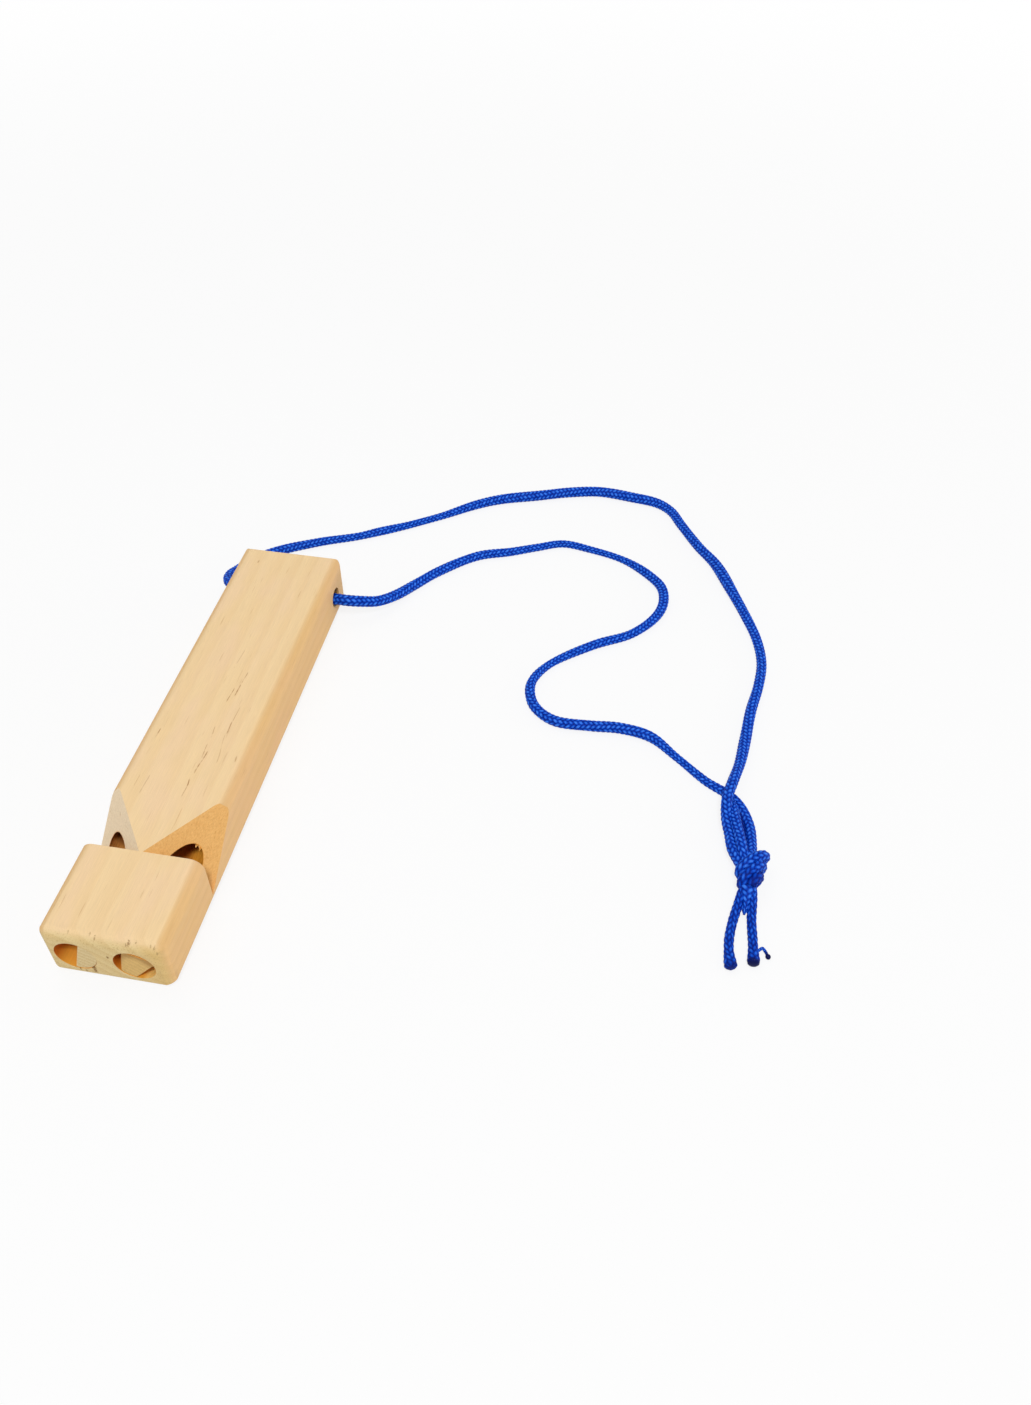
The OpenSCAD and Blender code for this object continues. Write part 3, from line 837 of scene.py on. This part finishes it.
def plug_paint():
    """The glued plugs: pale end grain, with painted shadow toward the right one's upper rim, and brown sides.
    """
    paint = Paint("plug_end_grain")
    at = paint.place()
    x, _, z = paint.parts(at)
    _, ny, _ = paint.normal()
    _, off_z, far = from_bore(paint, x, z)
    rings = growth_rings(paint, at, x, z, PLUG_RINGS)
    grit = paint.noise(at, (3.5, 3.5, 3.5), 3.0, 0.6)
    fibre = paint.noise(at, (5.0, 0.25, 5.0), 3.0)
    on_right = paint.span(x, -1, 1)
    pale = paint.mix(on_right, LEFT_END, RIGHT_END)
    pale = paint.mix(paint.times(rings, 0.3), pale, PLUG_RING)
    pale = paint.mix(paint.span(grit, 0.5, 0.7, 0, 0.5), pale, PLUG_GRIT)
    # Painted shadow under the right bore's upper rim.
    rim = paint.times(paint.span(far, 1.6, 3.7), paint.span(off_z, -0.8, 1.6), on_right)
    pale = paint.mix(paint.times(rim, 0.75), pale, PLUG_RIM_SHADOW)
    length = paint.mix(paint.span(fibre, 0.3, 0.7), *PLUG_SIDE)
    paint.set(
        Base_Color=paint.mix(paint.span(paint.math("ABSOLUTE", ny), 0.5, 0.9), length, pale),
        Roughness=paint.span(grit, 0.3, 0.7, 0.6, 0.78),
        Specular_IOR_Level=0.25,
    )
    paint.bump(paint.math("ADD", grit, paint.times(fibre, 0.4)), 0.1, 0.5)
    return paint.material


def worn_copy(node, name, material, worn=WORN_EDGE):
    """A copy of a CAD node with its sharp edges worn round, which stands for the node."""
    work = bmesh.new()
    work.from_mesh(frame["nodes"][node].data)
    bmesh.ops.remove_doubles(work, verts=work.verts, dist=WELD * MM)
    bmesh.ops.dissolve_limit(work, angle_limit=math.radians(FLAT_BEND), verts=work.verts, edges=work.edges)
    limit = math.radians(SHARP_BEND)
    sharp = [e for e in work.edges if len(e.link_faces) == 2 and e.calc_face_angle() > limit]
    bmesh.ops.bevel(
        work, geom=sharp, offset=worn * MM, segments=2, profile=0.5, affect="EDGES", clamp_overlap=True
    )
    bmesh.ops.dissolve_degenerate(work, dist=SLIVER * MM, edges=work.edges)
    bmesh.ops.triangulate(work, faces=[f for f in work.faces if len(f.verts) > 4])
    mesh = bpy.data.meshes.new(name)
    work.to_mesh(mesh)
    work.free()
    mesh.shade_smooth()
    mesh.set_sharp_from_angle(angle=math.radians(CREASE_BEND))
    mesh.materials.append(material)
    thing = bpy.data.objects.new(name, mesh)
    bpy.context.scene.collection.objects.link(thing)
    thing.modifiers.new("even_faces", "WEIGHTED_NORMAL").keep_sharp = True
    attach(thing, "root")
    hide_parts(node)


def set_camera():
    """The camera that the photograph was taken from."""
    yaw, down, roll = (math.radians(a) for a in (CAMERA_YAW, CAMERA_DOWN, CAMERA_ROLL))
    right = Vector((math.cos(yaw), -math.sin(yaw), 0))
    ahead = Vector((math.sin(yaw) * math.cos(down), math.cos(yaw) * math.cos(down), -math.sin(down)))
    up = right.cross(ahead)
    across = right * math.cos(roll) + up * math.sin(roll)
    upward = up * math.cos(roll) - right * math.sin(roll)
    data = bpy.data.cameras.new("camera")
    data.sensor_fit = "VERTICAL"
    data.sensor_height = SENSOR
    data.lens = FOCAL_PX / IMAGE_H * SENSOR
    data.clip_start, data.clip_end = CLIP_NEAR, CLIP_FAR
    camera = bpy.data.objects.new("camera", data)
    matrix = Matrix((across, upward, -ahead)).transposed().to_4x4()
    matrix.translation = Vector(CAMERA_AT) * MM
    camera.matrix_world = matrix
    bpy.context.scene.collection.objects.link(camera)
    bpy.context.scene.camera = camera


def lamp(name, at, size, watts, aim):
    """A square lamp that shines from one place toward another."""
    data = bpy.data.lights.new(name, "AREA")
    data.shape = "SQUARE"
    data.size = size
    data.energy = watts
    thing = bpy.data.objects.new(name, data)
    thing.location = at
    thing.rotation_euler = (Vector(aim) - Vector(at)).to_track_quat("-Z", "Y").to_euler()
    bpy.context.scene.collection.objects.link(thing)


def seen_ray(nodes, links):
    """1 for a ray that shows a surface to the camera, straight on or through a mirror or glass."""
    path = nodes.new("ShaderNodeLightPath")
    either, any_of = nodes.new("ShaderNodeMath"), nodes.new("ShaderNodeMath")
    either.operation = any_of.operation = "MAXIMUM"
    links.new(path.outputs["Is Camera Ray"], either.inputs[0])
    links.new(path.outputs["Is Glossy Ray"], either.inputs[1])
    links.new(either.outputs[0], any_of.inputs[0])
    links.new(path.outputs["Is Transmission Ray"], any_of.inputs[1])
    return any_of.outputs[0]


def floor_paint():
    """A pale floor that shows white to the camera, and keeps a faint shadow near the object."""
    material = bpy.data.materials.new("white_floor")
    material.use_nodes = True
    nodes, links = material.node_tree.nodes, material.node_tree.links
    nodes.clear()
    diffuse = nodes.new("ShaderNodeBsdfDiffuse")
    diffuse.inputs["Color"].default_value = (FLOOR_GREY, FLOOR_GREY, FLOOR_GREY, 1)
    glow = nodes.new("ShaderNodeEmission")
    glow.inputs["Color"].default_value = (1, 1, 1, 1)
    glow.inputs["Strength"].default_value = 1.0
    place = nodes.new("ShaderNodeTexCoord")
    away = nodes.new("ShaderNodeVectorMath")
    away.operation = "LENGTH"
    links.new(place.outputs["Object"], away.inputs[0])
    fade = nodes.new("ShaderNodeMapRange")
    fade.interpolation_type = "SMOOTHSTEP"
    links.new(away.outputs["Value"], fade.inputs[0])
    for socket, value in zip(fade.inputs[1:5], FLOOR_FADE):
        socket.default_value = value
    share = nodes.new("ShaderNodeMath")
    share.operation = "MULTIPLY"
    links.new(seen_ray(nodes, links), share.inputs[0])
    links.new(fade.outputs[0], share.inputs[1])
    mixed = nodes.new("ShaderNodeMixShader")
    links.new(share.outputs[0], mixed.inputs[0])
    links.new(diffuse.outputs[0], mixed.inputs[1])
    links.new(glow.outputs[0], mixed.inputs[2])
    out = nodes.new("ShaderNodeOutputMaterial")
    links.new(mixed.outputs[0], out.inputs["Surface"])
    return material


def set_world():
    """A world that shows white to the camera and lights the object softly."""
    world = bpy.data.worlds.new("studio")
    bpy.context.scene.world = world
    world.use_nodes = True
    nodes, links = world.node_tree.nodes, world.node_tree.links
    back = nodes["Background"]
    back.inputs["Color"].default_value = (1, 1, 1, 1)
    level = nodes.new("ShaderNodeMapRange")
    links.new(seen_ray(nodes, links), level.inputs[0])
    level.inputs[3].default_value = WORLD_LIGHT
    level.inputs[4].default_value = 1.0
    links.new(level.outputs[0], back.inputs["Strength"])


def set_stage():
    """The floor, the world, and soft lamps at the front, the back and the right."""
    mesh = bpy.data.meshes.new("floor")
    corners = [(-1, -1), (1, -1), (1, 1), (-1, 1)]
    mesh.from_pydata([(FLOOR_HALF * x, FLOOR_HALF * y, 0) for x, y in corners], [], [(0, 1, 2, 3)])
    mesh.materials.append(floor_paint())
    floor = bpy.data.objects.new("floor", mesh)
    bpy.context.scene.collection.objects.link(floor)
    set_world()
    lamp("key", *KEY_LAMP, AIM)
    lamp("back", *BACK_LAMP, AIM)
    lamp("side", *SIDE_LAMP, SIDE_AIM)
    bpy.context.scene.view_settings.view_transform = "Standard"


set_camera()
set_stage()
build_cords(cord_paint())
pine, plug = pine_paint(), plug_paint()
worn_copy("whistle_body", "block", pine)
build_splinters(pine)
worn_copy("left_plug", "left_stopper", plug, WORN_PLUG)
worn_copy("right_plug", "right_stopper", plug, WORN_PLUG)
